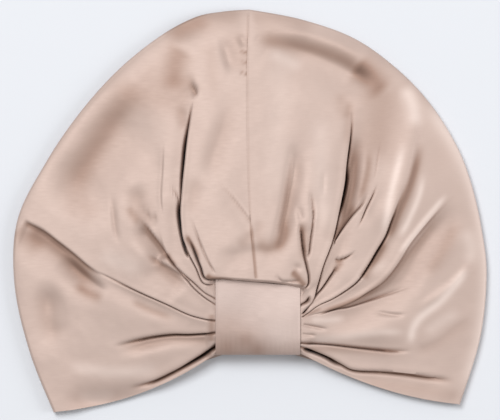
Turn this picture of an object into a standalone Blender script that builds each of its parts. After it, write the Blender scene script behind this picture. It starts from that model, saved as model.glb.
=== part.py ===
"""Sleep bonnet of satin, a turban shape lying flat with its front up.

Two half bonnets meet at the centre seam. Each is one piece of cloth: a front layer, the fold
round the side, and a back layer on the ground. Their front edge is gathered into a plain band.
The crown points to +Y, the mouth to -Y, and the ground is at Z = 0.
The tables are in millimetres. The meshes are in metres.
"""

import math
from collections import namedtuple

import bpy
from mathutils import Vector

# Driving dimensions, in millimetres
WALL = 1.2
GAP = 0.3
SIDE_FOLD_RADIUS = 2.2
SEAM_AT_BAND_X = 3.0
BAND_LEFT_X = -25.0
BAND_RIGHT_X = 33.0
BAND_TOP_Y = -49.2
BAND_BOTTOM_Y = -98.8
BAND_HEIGHT = 21.0
BAND_UNDERSIDE = 7.6
BAND_SAG_LENGTHWISE = 2.2
BAND_SAG_ACROSS = 1.2
BAND_CREST = 0.3
BAND_LAP_SHORTER = 2.4
NECK_CLEARANCE = 0.35
NECK_PLEAT = 3.6
NECK_LEVEL = 0.5
NECK_TOP_Y = -61.0
NECK_BOTTOM_Y = -95.6
BACK_SEAM_END_Y = -52.0
BACK_HEM_MIDDLE_Y = -91.0

# How the cloth rises and falls, in millimetres
SHOULDER_REACH = 52.0
RISE_AT_BAND = 9.0
RIM_SLOPE = 15.0
CREASE_FADE_AT_RIM = 0.08
CREASE_DEEPENS_IN = 26.0
CREASE_AT_BAND = 0.4

# The grid of each panel
COLUMNS = 42
NECK_ROWS = 3
FRONT_ROWS = 19
FOLD_ROWS = 3
BACK_ROWS = 8
ROW_CROWDING = 0.11
OUTLINE_STEP = 0.05

# The grid of the band: steps across it, down its face, round its roll and along its underside
BAND_COLUMNS = 8
BAND_FACE_ROWS = 7
BAND_ROLL_ROWS = 7
BAND_UNDER_ROWS = 3

MM = 0.001
BACK_LEVEL = WALL / 2
RIM_LEVEL = BACK_LEVEL + 2 * SIDE_FOLD_RADIUS

# A spoke is a line of the cloth from the band's edge, over its middle, to the outline.
# shoulder is its height beside the band and body its height half way out.
Spoke = namedtuple("Spoke", "edge_x edge_y mid_x mid_y rim_x rim_y shoulder body")

LEFT_SPOKES = (
    Spoke(3.0, -48.2, -3.5, 42.5, -2.0, 139.0, 33.0, 25.0),
    Spoke(-10.0, -48.2, -26.0, 30.0, -20.5, 137.5, 32.5, 25.0),
    Spoke(-25.5, -49.4, -50.5, 8.0, -39.5, 133.5, 27.0, 22.5),
    Spoke(-25.3, -58.0, -63.5, -0.5, -63.5, 120.5, 26.5, 21.5),
    Spoke(-25.3, -64.5, -86.0, -4.5, -92.0, 97.5, 25.5, 20.5),
    Spoke(-25.3, -70.0, -98.0, -15.5, -118.5, 68.0, 25.0, 19.5),
    Spoke(-25.3, -75.0, -105.5, -29.5, -142.0, 33.5, 24.0, 18.5),
    Spoke(-25.3, -80.0, -107.0, -45.0, -161.5, -6.0, 23.0, 17.5),
    Spoke(-25.3, -85.5, -101.5, -71.5, -163.5, -50.5, 21.5, 15.5),
    Spoke(-25.3, -91.5, -92.5, -99.0, -153.0, -97.0, 19.0, 13.0),
    Spoke(-25.3, -96.6, -76.5, -125.0, -136.5, -138.5, 14.5, 9.5),
)

RIGHT_SPOKES = (
    Spoke(3.0, -48.2, -3.5, 42.5, -2.0, 139.0, 33.0, 25.0),
    Spoke(18.5, -48.2, 31.0, 28.5, 34.5, 132.0, 32.5, 25.0),
    Spoke(33.5, -49.4, 63.0, 11.5, 70.5, 119.0, 27.0, 22.5),
    Spoke(33.3, -59.0, 78.5, 2.5, 100.5, 97.5, 26.5, 21.0),
    Spoke(33.3, -66.0, 100.5, -7.0, 123.5, 73.0, 25.5, 20.0),
    Spoke(33.3, -73.0, 110.5, -28.0, 141.0, 45.0, 24.5, 19.0),
    Spoke(33.3, -77.5, 116.0, -44.0, 152.5, 19.0, 23.5, 18.0),
    Spoke(33.3, -82.0, 116.5, -59.0, 160.0, -11.5, 22.5, 16.5),
    Spoke(33.3, -86.5, 112.0, -75.5, 164.4, -44.0, 21.0, 15.0),
    Spoke(33.3, -91.5, 102.0, -95.5, 158.0, -87.5, 19.0, 12.5),
    Spoke(33.3, -96.3, 87.0, -121.0, 143.0, -133.0, 14.5, 9.5),
)

# A crease lies along the spoke of that number. width is in spokes and depth in millimetres.
# It runs out from the band to the fraction reach of the spoke's length.
Crease = namedtuple("Crease", "name spoke width depth reach")

LEFT_CREASES = (
    Crease("puff_edge", 2.0, 0.34, 8.5, 0.85),
    Crease("upper_tuck", 3.15, 0.36, 7.0, 0.62),
    Crease("cheek_tuck", 4.4, 0.40, 6.5, 0.60),
    Crease("long_valley", 6.1, 0.44, 6.5, 0.97),
    Crease("lower_tuck", 7.9, 0.40, 5.0, 0.62),
    Crease("hem_gap", 9.35, 0.36, 4.5, 0.80),
)

RIGHT_CREASES = (
    Crease("puff_edge", 2.0, 0.34, 9.0, 0.85),
    Crease("upper_tuck", 3.0, 0.34, 6.5, 0.62),
    Crease("cheek_valley", 4.35, 0.40, 7.0, 0.92),
    Crease("long_valley", 5.65, 0.40, 6.5, 0.92),
    Crease("side_valley", 7.3, 0.42, 5.5, 0.97),
    Crease("hem_gap", 9.2, 0.38, 5.0, 0.90),
)

# A dent is a soft hollow or swell of the front layer: where, how far along X and Y, how deep.
Dent = namedtuple("Dent", "x y reach_x reach_y depth")

LEFT_DENTS = (
    Dent(-95.0, 58.0, 26.0, 15.0, 3.5),
    Dent(-55.0, 92.0, 10.0, 22.0, 2.0),
    Dent(-120.0, -72.0, 16.0, 20.0, 2.0),
    Dent(-24.0, 70.0, 10.0, 26.0, 2.0),
)

RIGHT_DENTS = (
    Dent(52.0, 106.0, 30.0, 9.0, 3.5),
    Dent(22.0, 0.0, 7.0, 26.0, 2.5),
    Dent(88.0, 68.0, 14.0, 18.0, 1.5),
    Dent(84.0, -100.0, 18.0, 8.0, 2.0),
)

Finish = namedtuple("Finish", "colour roughness metallic")
SATIN = Finish((0.68, 0.53, 0.46, 1.0), 0.38, 0.0)
BAND_SATIN = Finish((0.66, 0.53, 0.48, 1.0), 0.42, 0.0)


def clear_scene():
    """Remove whatever the file holds."""
    for item in list(bpy.data.objects):
        bpy.data.objects.remove(item, do_unlink=True)


def smooth_step(value):
    """Rise from 0 to 1 with level ends."""
    value = min(1.0, max(0.0, value))
    return value * value * (3 - 2 * value)


def along_table(table, place):
    """Read every column of a table at a place between its rows, on a smooth curve."""
    last = len(table) - 1
    row = min(int(place), last - 1)
    part = place - row
    before, start = table[max(row - 1, 0)], table[row]
    end, after = table[row + 1], table[min(row + 2, last)]
    values = []
    for p0, p1, p2, p3 in zip(before, start, end, after):
        slope_start = (p2 - p0) / 2
        slope_end = (p3 - p1) / 2
        rise = p2 - p1
        cubic = slope_start + slope_end - 2 * rise
        square = 3 * rise - 2 * slope_start - slope_end
        values.append(p1 + part * (slope_start + part * (square + part * cubic)))
    return type(table[0])(*values)


def band_face_height(x, y):
    """Height of the middle of the band's upper wall."""
    middle_x = (BAND_LEFT_X + BAND_RIGHT_X) / 2
    crest_y = BAND_TOP_Y + BAND_CREST * (BAND_BOTTOM_Y - BAND_TOP_Y)
    across = (x - middle_x) / (BAND_RIGHT_X - middle_x)
    lengthwise = (y - crest_y) / (BAND_BOTTOM_Y - crest_y)
    sag = BAND_SAG_ACROSS * across * across + BAND_SAG_LENGTHWISE * lengthwise * lengthwise
    return BAND_HEIGHT - WALL / 2 - sag


def band_roll(x):
    """Return the centre and radius of the band's rolled lower edge at one place across it."""
    low = BAND_UNDERSIDE + WALL / 2
    high = band_face_height(x, BAND_BOTTOM_Y + (BAND_HEIGHT - BAND_UNDERSIDE) / 2)
    radius = (high - low) / 2
    return BAND_BOTTOM_Y + WALL / 2 + radius, low + radius, radius


def neck_height(x, y, pleat):
    """Height of the gathered cloth in the band: pleat is 0 in a crease and 1 on a fold."""
    clearance = WALL + NECK_CLEARANCE
    roll_y, roll_z, radius = band_roll(x)
    low = BAND_UNDERSIDE + WALL / 2 + clearance
    high = band_face_height(x, y) - clearance
    if y < roll_y:
        reach = math.sqrt(max((radius - clearance) ** 2 - (y - roll_y) ** 2, 0.0))
        low = max(low, roll_z - reach)
        high = min(high, roll_z + reach)
    low = max(low, high - NECK_PLEAT)
    return low + (high - low) * pleat


def crease_strength(creases, place, part):
    """Depth taken by the creases at a spoke number and a part of its length."""
    depth = 0.0
    for crease in creases:
        away = abs(place - crease.spoke) / crease.width
        fade = 1 - smooth_step((part - CREASE_FADE_AT_RIM) / crease.reach)
        depth += crease.depth * math.exp(-away * away) * max(fade, 0.0)
    return depth


def pleat_fraction(creases, place):
    """Return 1 on a fold of the gathers and 0 in a crease."""
    lowest = 1.0
    for crease in creases:
        away = abs(place - crease.spoke) / crease.width
        lowest = min(lowest, 1 - math.exp(-away * away))
    return lowest


def dent_depth(dents, x, y):
    """Depth of the soft hollows at one place."""
    depth = 0.0
    for dent in dents:
        square = ((x - dent.x) / dent.reach_x) ** 2 + ((y - dent.y) / dent.reach_y) ** 2
        depth += dent.depth * math.exp(-square)
    return depth


class Panel:
    """One half of the bonnet, worked out column by column from the seam to the hem."""

    def __init__(self, side, spokes, creases, dents):
        self.side = side
        self.spokes = spokes
        self.creases = creases
        self.dents = dents

    def rim_point(self, place):
        """Return the outline's point and its outward direction at a spoke number."""
        last = len(self.spokes) - 1
        here = along_table(self.spokes, place)
        low = along_table(self.spokes, max(place - OUTLINE_STEP, 0.0))
        high = along_table(self.spokes, min(place + OUTLINE_STEP, last))
        along = Vector((high.rim_x - low.rim_x, high.rim_y - low.rim_y)).normalized()
        outward = Vector((-self.side * along.y, self.side * along.x))
        outward = outward.lerp(Vector((0.0, 1.0)), 1 - smooth_step(place)).normalized()
        return Vector((here.rim_x, here.rim_y)), outward

    def plan_point(self, place, part):
        """Place of the front layer in plan: part is 0 at the band and 1 inside the side fold."""
        spoke = along_table(self.spokes, place)
        rim, outward = self.rim_point(place)
        start = Vector((spoke.edge_x, spoke.edge_y))
        middle = Vector((spoke.mid_x, spoke.mid_y))
        end = rim - outward * (SIDE_FOLD_RADIUS + WALL / 2)
        bend = 2 * middle - (start + end) / 2
        return start * (1 - part) ** 2 + bend * (2 * part * (1 - part)) + end * part ** 2

    def front_point(self, place, part):
        """Point of the front layer."""
        spoke = along_table(self.spokes, place)
        at = self.plan_point(place, part)
        from_band = (at - self.plan_point(place, 0.0)).length
        from_rim = (at - self.plan_point(place, 1.0)).length
        nearness = math.exp(-(from_band / SHOULDER_REACH) ** 2)
        body = spoke.body + (spoke.shoulder - spoke.body) * nearness
        deepening = CREASE_AT_BAND
        deepening += (1 - CREASE_AT_BAND) * smooth_step(from_band / CREASE_DEEPENS_IN)
        body -= crease_strength(self.creases, place, part) * deepening
        body -= dent_depth(self.dents, at.x, at.y)
        pleat = pleat_fraction(self.creases, place)
        edge = neck_height(spoke.edge_x, spoke.edge_y, pleat)
        height = edge + (body - edge) * smooth_step(from_band / RISE_AT_BAND)
        height = RIM_LEVEL + (height - RIM_LEVEL) * (1 - math.exp(-from_rim / RIM_SLOPE))
        return Vector((at.x, at.y, height))

    def neck_point(self, place, part):
        """Point of the gathers inside the band: part is 0 at the seam and 1 at the band's edge."""
        start_y = NECK_TOP_Y + (NECK_BOTTOM_Y - NECK_TOP_Y) * place / (len(self.spokes) - 1)
        start = Vector((SEAM_AT_BAND_X + self.side * GAP / 2, start_y))
        at = start.lerp(self.plan_point(place, 0.0), part)
        pleat = NECK_LEVEL + (pleat_fraction(self.creases, place) - NECK_LEVEL) * part
        return Vector((at.x, at.y, neck_height(at.x, at.y, pleat)))

    def fold_point(self, place, part):
        """Point of the fold round the side, from the front layer at 0 to the back layer at 1."""
        rim, outward = self.rim_point(place)
        turn = math.pi * (0.5 - part)
        reach = SIDE_FOLD_RADIUS * math.cos(turn)
        at = rim - outward * (SIDE_FOLD_RADIUS + WALL / 2 - reach)
        height = BACK_LEVEL + SIDE_FOLD_RADIUS * (1 + math.sin(turn))
        return Vector((at.x, at.y, height))

    def back_point(self, place, part):
        """Point of the back layer: part is 0 at the side fold and 1 at the back seam's end."""
        end_y = BACK_SEAM_END_Y
        end_y += (BACK_HEM_MIDDLE_Y - BACK_SEAM_END_Y) * place / (len(self.spokes) - 1)
        start = self.fold_point(place, 1.0)
        end = Vector((SEAM_AT_BAND_X, end_y, BACK_LEVEL))
        return start.lerp(end, part)

    def column(self, place):
        """All the points of one column, from the neck out over the front and back underneath."""
        points = [self.neck_point(place, row / NECK_ROWS) for row in range(NECK_ROWS)]
        for row in range(FRONT_ROWS + 1):
            even = row / FRONT_ROWS
            part = even - ROW_CROWDING * math.sin(2 * math.pi * even)
            points.append(self.front_point(place, part))
        for row in range(1, FOLD_ROWS + 1):
            points.append(self.fold_point(place, row / FOLD_ROWS))
        for row in range(1, BACK_ROWS + 1):
            points.append(self.back_point(place, row / BACK_ROWS))
        return points

    def points(self):
        """All the points of the panel, moved off the seam by half the gap."""
        last = len(self.spokes) - 1
        off_seam = Vector((self.side * GAP / 2, 0.0, 0.0))
        columns = [self.column(last * step / COLUMNS) for step in range(COLUMNS + 1)]
        return [[(point + off_seam) * MM for point in column] for column in columns]


def satin_material(name, finish):
    """Make a Principled material of one finish."""
    material = bpy.data.materials.new(name)
    material.use_nodes = True
    shader = material.node_tree.nodes["Principled BSDF"]
    shader.inputs["Base Color"].default_value = finish.colour
    shader.inputs["Roughness"].default_value = finish.roughness
    shader.inputs["Metallic"].default_value = finish.metallic
    return material


def sheet_object(name, columns, finish, collection):
    """Make a sheet from columns of points and give it the cloth's thickness."""
    rows = len(columns[0])
    points = [point for column in columns for point in column]
    faces = []
    for column in range(len(columns) - 1):
        for row in range(rows - 1):
            first = column * rows + row
            faces.append((first, first + 1, first + rows + 1, first + rows))
    mesh = bpy.data.meshes.new(name)
    mesh.from_pydata(points, [], faces)
    mesh.shade_smooth()
    mesh.materials.append(satin_material(name + "_satin", finish))
    sheet = bpy.data.objects.new(name, mesh)
    collection.objects.link(sheet)
    wall = sheet.modifiers.new("wall", "SOLIDIFY")
    wall.thickness = WALL * MM
    wall.offset = 0.0
    wall.use_even_offset = True
    return sheet


def band_profile(x):
    """Points of the band's section at one place across it, from its top edge round and under."""
    roll_y, roll_z, radius = band_roll(x)
    points = []
    for step in range(BAND_FACE_ROWS):
        y = BAND_TOP_Y + (roll_y - BAND_TOP_Y) * step / BAND_FACE_ROWS
        points.append(Vector((x, y, band_face_height(x, y))))
    for step in range(BAND_ROLL_ROWS + 1):
        turn = math.pi * (0.5 + step / BAND_ROLL_ROWS)
        y = roll_y + radius * math.cos(turn)
        points.append(Vector((x, y, roll_z + radius * math.sin(turn))))
    under_end_y = BAND_TOP_Y - BAND_LAP_SHORTER
    for step in range(1, BAND_UNDER_ROWS + 1):
        y = roll_y + (under_end_y - roll_y) * step / BAND_UNDER_ROWS
        points.append(Vector((x, y, roll_z - radius)))
    return points


def build_band(collection):
    """Make the band: a strap lapped round the gathers, open where it goes in under the puff."""
    columns = []
    for step in range(BAND_COLUMNS + 1):
        x = BAND_LEFT_X + (BAND_RIGHT_X - BAND_LEFT_X) * step / BAND_COLUMNS
        columns.append([point * MM for point in band_profile(x)])
    sheet_object("centre_band", columns, BAND_SATIN, collection)


def build_bonnet():
    """Build the three pieces of the bonnet."""
    clear_scene()
    collection = bpy.data.collections.new("sleep_bonnet")
    bpy.context.scene.collection.children.link(collection)
    left = Panel(-1.0, LEFT_SPOKES, LEFT_CREASES, LEFT_DENTS)
    right = Panel(1.0, RIGHT_SPOKES, RIGHT_CREASES, RIGHT_DENTS)
    sheet_object("left_panel", left.points(), SATIN, collection)
    sheet_object("right_panel", right.points(), SATIN, collection)
    build_band(collection)


build_bonnet()
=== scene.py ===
"""The look of a satin turban sleep bonnet that lies flat with its front up.

Each half of the bonnet is one sheet of charmeuse satin: the front layer with its folds, the
turn round the side and the back layer on the ground. A plain satin band cinches the gathers.
Lengths in the tables are millimetres. Meshes are in metres.

The tables also paint shade and highlights into the cloth's colour, through an attribute of the
mesh. That part is fitted to the light in the photograph, so it stays where it is when the lights
move.
"""

import logging
import math
from dataclasses import dataclass
from enum import Enum
from typing import NamedTuple

import bmesh
import bpy
import numpy as np
from mathutils import Matrix, Vector


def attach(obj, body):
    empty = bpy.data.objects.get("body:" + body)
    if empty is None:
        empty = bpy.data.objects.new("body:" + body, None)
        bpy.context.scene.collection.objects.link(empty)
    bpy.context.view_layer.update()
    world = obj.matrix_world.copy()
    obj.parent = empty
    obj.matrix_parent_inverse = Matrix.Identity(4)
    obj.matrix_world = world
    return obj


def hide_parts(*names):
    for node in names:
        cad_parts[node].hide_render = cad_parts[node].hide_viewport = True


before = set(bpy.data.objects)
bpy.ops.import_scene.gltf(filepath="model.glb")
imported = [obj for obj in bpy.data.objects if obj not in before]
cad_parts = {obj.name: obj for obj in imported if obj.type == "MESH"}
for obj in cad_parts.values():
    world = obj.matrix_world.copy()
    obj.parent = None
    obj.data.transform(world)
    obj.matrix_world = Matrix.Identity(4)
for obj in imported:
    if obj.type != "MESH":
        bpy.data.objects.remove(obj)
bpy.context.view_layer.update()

MM = 0.001
PATH_STEPS = 8  # short runs that a path is cut into between two of its points
CROWD_STEPS = 1001  # places at which the crowding of the columns is added up
PLACE_STEP = 0.05  # spokes to each side over which the outline's direction is read
LAP_REACH = 7.0  # how many widths of a crease or its trough it moves the cloth beside it
SWELL_REACH = 3.0  # the same for a soft valley or ridge
# A crease's painted shade deepens with its depth up to this.
PAINTED_SHADE_DEPTH = 8.0  # depth in millimetres from which a crease gets no darker
SHARP_EDGE = math.radians(65.0)
LOG = logging.getLogger("sleep_bonnet")


class Side(Enum):
    """Which half of the bonnet a sheet is, as the sign of its X direction."""

    LEFT = -1
    RIGHT = 1


class Over(Enum):
    """Which cloth lies over a crease, as a sign: the one nearer the seam or nearer the hem."""

    SEAM = -1
    HEM = 1


class Spoke(NamedTuple):
    """A line of the cloth from the band, over its middle, to the outline, with its heights."""

    edge_x: float
    edge_y: float
    mid_x: float
    mid_y: float
    rim_x: float
    rim_y: float
    shoulder: float
    body: float
    overhang: float
    rise: float


class Lap(NamedTuple):
    """A crease that one side of the cloth laps over. Its path runs out from the band.

    The crease is depth deep, and width_in to width_out wide along its path. The upper cloth
    leans out over it by lean and swells by lip. A trough this deep and wide lies round it.
    """

    name: str
    over: Over
    path: tuple[tuple[float, float], ...]
    depth: float
    width_in: float
    width_out: float
    lean: float
    lip: float
    trough: float
    trough_width: float
    fade_in: float
    fade_out: float


class Swell(NamedTuple):
    """A soft valley of the cloth along a path, or a ridge where depth is below zero.

    Shade is painted shade in the cloth's colour along the path, or a painted highlight where it is
    below zero. A row with no depth does only that and leaves the shape alone.
    """

    name: str
    path: tuple[tuple[float, float], ...]
    depth: float
    width_left: float
    width_right: float
    fade_in: float
    fade_out: float
    shade: float = 0.0


@dataclass(frozen=True)
class CreaseForm:
    """The section that all lapped creases share, in widths of the crease unless said.

    Across a crease, places count from the bottom of its slot, positive on the under side.
    """

    slot_offset: float = 0.6
    upper_steepness: float = 2.0
    trough_end: float = 2.6
    crest_offset: float = 1.6
    crest_width: float = 1.2
    lean_offset: float = 1.0
    lean_width_under: float = 0.6
    lean_width_over: float = 1.6
    # The next two set how the painted shade in a crease follows its slot.
    dark_gain: float = 1.3
    dark_power: float = 1.2
    band_reach: float = 7.0  # millimetres from the band in which a crease opens
    depth_at_band: float = 0.6  # share of its depth that a crease has at the band
    trough_at_band: float = 0.2  # share of its trough that it has there


class Crowd(NamedTuple):
    """A stretch of spokes where the sheet's columns lie closer, to draw a crisp crease."""

    place: float
    reach: float
    share: float


class Patch(NamedTuple):
    """A soft round patch of painted shade on the band, or of painted highlight where shade is below
    zero.
    """

    x: float
    y: float
    reach: float
    shade: float


class Dent(NamedTuple):
    """A soft round hollow of the front layer."""

    x: float
    y: float
    reach: float
    depth: float


# Where the band is darker and paler in the photo's light.
# Painted shade, and painted highlights where shade is below zero.
BAND_PATCHES = (
    Patch(-13.5, -75.5, 9.0, 0.05),
    Patch(-4.0, -87.0, 6.0, 0.12),
    Patch(-17.0, -92.5, 5.0, 0.08),
    Patch(4.0, -94.5, 5.0, 0.12),
    Patch(19.5, -83.0, 10.0, -0.14),
    Patch(24.0, -60.0, 9.0, -0.12),
)

# The spokes run from the centre seam to the front hem.
LEFT_SPOKES = (
    Spoke(3.0, -48.2, -3.5, 42.5, -2.0, 139.0, 29.0, 24.0, 1.6, 3.5),
    Spoke(-10.0, -47.0, -26.0, 30.0, -20.5, 137.5, 29.0, 24.5, 1.6, 3.5),
    Spoke(-25.3, -47.5, -50.5, 8.0, -39.5, 133.5, 25.5, 23.0, 1.0, 5.0),
    Spoke(-25.0, -59.0, -63.5, -0.5, -63.5, 120.5, 23.2, 22.0, 0.0, 8.0),
    Spoke(-25.0, -65.0, -86.0, -4.5, -92.0, 97.5, 21.7, 19.5, 0.0, 8.0),
    Spoke(-25.0, -70.5, -98.0, -15.5, -118.5, 68.0, 20.7, 18.0, 0.0, 8.0),
    Spoke(-25.0, -75.5, -105.5, -29.5, -142.0, 33.5, 19.7, 16.5, 0.0, 8.0),
    Spoke(-25.0, -80.5, -107.0, -45.0, -161.5, -6.0, 18.7, 15.5, 0.0, 8.0),
    Spoke(-25.0, -86.0, -101.5, -71.5, -163.5, -50.5, 16.7, 14.0, 0.0, 8.0),
    Spoke(-25.0, -92.0, -92.5, -99.0, -153.0, -97.0, 14.2, 11.0, 0.0, 8.0),
    Spoke(-25.0, -97.6, -76.5, -125.0, -136.5, -138.5, 11.5, 7.0, 0.0, 8.0),
)

RIGHT_SPOKES = (
    Spoke(3.0, -48.2, -3.5, 42.5, -2.0, 139.0, 29.0, 24.0, 1.6, 3.5),
    Spoke(18.5, -49.4, 31.0, 28.5, 34.5, 132.0, 29.0, 24.5, 1.6, 3.5),
    Spoke(33.3, -53.5, 63.0, 11.5, 70.5, 119.0, 25.5, 23.0, 1.0, 5.0),
    Spoke(33.0, -60.5, 78.5, 2.5, 100.5, 97.5, 22.7, 19.5, 0.0, 8.0),
    Spoke(33.0, -67.0, 100.5, -7.0, 123.5, 73.0, 21.7, 16.0, 0.0, 8.0),
    Spoke(33.0, -72.5, 110.5, -28.0, 141.0, 45.0, 20.7, 13.5, 0.0, 8.0),
    Spoke(33.0, -77.0, 116.0, -44.0, 151.0, 19.0, 19.7, 12.5, 0.0, 8.0),
    Spoke(33.0, -81.5, 116.5, -59.0, 158.0, -11.5, 18.2, 12.0, 0.0, 8.0),
    Spoke(33.0, -86.5, 112.0, -75.5, 161.5, -44.0, 16.7, 12.0, 0.0, 8.0),
    Spoke(33.0, -91.5, 102.0, -95.5, 157.0, -87.5, 13.0, 9.5, 0.0, 8.0),
    Spoke(33.0, -97.0, 87.0, -121.0, 143.0, -133.0, 11.0, 6.0, 0.0, 8.0),
)

# Creases first, then valleys and ridges, then round dents. Creases, hollows and dents also paint
# shade into the colour down in them. A valley or ridge adds painted shade by its shade, or a
# painted highlight where that is below zero, and one with no depth only paints.
LEFT_LAPS = (
    Lap("puff_edge", Over.SEAM, ((-25, -49.5), (-32.5, -47.5), (-37.5, -37.5), (-41.5, -30),
                                 (-44, -24), (-46.5, -17), (-47.5, -8), (-48, 2.5), (-46.5, 21.5),
                                 (-45, 35.5), (-43.5, 50.5), (-41.5, 66), (-39.5, 77.5)),
        9.0, 0.8, 1.1, 0.8, 0.3, 1.0, 4.0, 0.06, 0.3),
    Lap("slot_upper", Over.SEAM, ((-48, 10.5), (-47, 21.5), (-46, 32), (-45, 42.5), (-43.5, 53),
                                  (-41.5, 63)), 8.0, 1.1, 1.5, 0.0, 0.0, 0.6, 4.0, 0.3, 0.45),
    Lap("slot_lower", Over.SEAM, ((-42.5, -31.5), (-45, -25), (-46.5, -19), (-48, -10.5),
                                  (-49, -0.5), (-48.5, 9.5)),
        9.0, 1.0, 1.4, 0.0, 0.0, 0.5, 4.0, 0.1, 0.3),
    Lap("puff_tuck", Over.SEAM, ((-24, -45.5), (-31, -44), (-34, -37), (-37, -29.5), (-40, -22.5),
                                 (-43.5, -16)), 5.5, 0.9, 1.5, 0.6, 0.24, 1.0, 3.0, 0.0, 0.5),
    Lap("puff_line", Over.SEAM, ((-24, -41.5), (-28.5, -35), (-34, -23), (-39.5, -8.5),
                                 (-43, -0.5)), 1.0, 1.0, 1.0, 0.2, 0.09, 0.5, 3.0, 0.1, 0.5),
    Lap("strip_edge", Over.SEAM, ((-25, -59), (-31.5, -54.5), (-38.5, -48), (-45.5, -41.5),
                                  (-52.5, -35), (-57.5, -28), (-61, -19.5), (-63.5, -10)),
        2.8, 0.9, 1.8, 1.0, 0.15, 2.0, 5.0, 0.0, 0.5),
    Lap("strip_line", Over.SEAM, ((-60.5, -3), (-61.5, 11.5), (-60.5, 28.5), (-60, 49.5)),
        0.5, 1.0, 1.0, 0.2, 0.06, 0.9, 5.0, 0.2, 0.4),
    Lap("strip_wedge", Over.SEAM, ((-56, -30.5), (-61.5, -22.5), (-67, -15.5), (-73, -8.5),
                                   (-78.5, -4)), 2.4, 1.2, 1.0, 0.4, 0.2, 4.5, 5.0, 0.1, 0.4),
    Lap("cheek_ridge", Over.SEAM, ((-38.5, -51.5), (-43.5, -46), (-52.5, -39.5), (-63, -33),
                                   (-74, -26)), 1.4, 1.2, 2.4, 0.6, 0.15, 3.0, 8.0, 0.3, 0.4),
    Lap("cheek_line", Over.SEAM, ((-25, -74), (-41.5, -70), (-58, -62.5), (-77.5, -54),
                                  (-98, -44.5), (-110.5, -38.5)),
        3.2, 1.1, 1.2, 1.0, 0.12, 2.2, 5.0, 0.0, 0.5),
    Lap("side_valley", Over.SEAM, ((-102, -44.5), (-110.5, -37.5), (-121.5, -28), (-132.5, -19.5),
                                   (-143.5, -11.5), (-157.5, -5)),
        3.0, 2.4, 2.8, 1.2, 0.0, 3.0, 9.0, 0.22, 0.08),
    Lap("low_crease", Over.SEAM, ((-25, -82), (-43, -83), (-55, -83), (-70.5, -85), (-84, -88.5),
                                  (-96.5, -92.5)), 4.2, 1.4, 1.9, 0.9, 0.15, 2.4, 4.0, 0.0, 0.36),
    Lap("hem_gap", Over.SEAM, ((-25, -91.5), (-30.5, -94), (-36.5, -98), (-45.5, -103.5),
                               (-56.5, -109.5), (-69.5, -115.5), (-87, -121)),
        4.0, 2.0, 2.2, 1.4, 0.24, 1.6, 4.0, 0.0, 0.35),
    Lap("puff_nick", Over.SEAM, ((-36, 78.5), (-38, 84.5), (-43, 90.5)),
        1.6, 2.4, 2.2, 0.3, 0.12, 1.2, 5.0, 0.2, 0.5),
    Lap("hook_wrinkle", Over.SEAM, ((-63.5, -4), (-70.5, -1.5), (-76, 2.5)),
        0.7, 1.0, 1.0, 0.2, 0.06, 0.4, 3.0, 0.2, 0.5),
    Lap("slot_tick", Over.HEM, ((-50.5, 6), (-53, 11.5), (-57.5, 15.5)),
        1.4, 1.1, 1.1, 0.3, 0.06, 0.6, 3.0, 0.1, 0.5),
    Lap("puff_wrinkle", Over.SEAM, ((3, -11.5), (-2, -4), (-11, 8), (-23, 21.5)),
        1.0, 1.1, 1.3, 0.3, 0.12, 0.8, 4.0, 0.15, 0.45),
    Lap("strip_under", Over.SEAM, ((-25, -63), (-31.5, -58.5), (-38.5, -52.5), (-44, -46),
                                   (-49, -40), (-54, -34)),
        3.0, 0.8, 1.0, 0.4, 0.12, 0.8, 3.0, 0.0, 0.3),
    Lap("hem_slot", Over.SEAM, ((-25, -90.5), (-30.5, -93.5), (-36, -97), (-44, -102),
                                (-51, -106.5)), 10.0, 2.6, 1.6, 0.0, 0.0, 0.0, 4.0, 0.0, 0.5),
)

# A row's shade above zero is painted shade and below zero a painted highlight.
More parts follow.
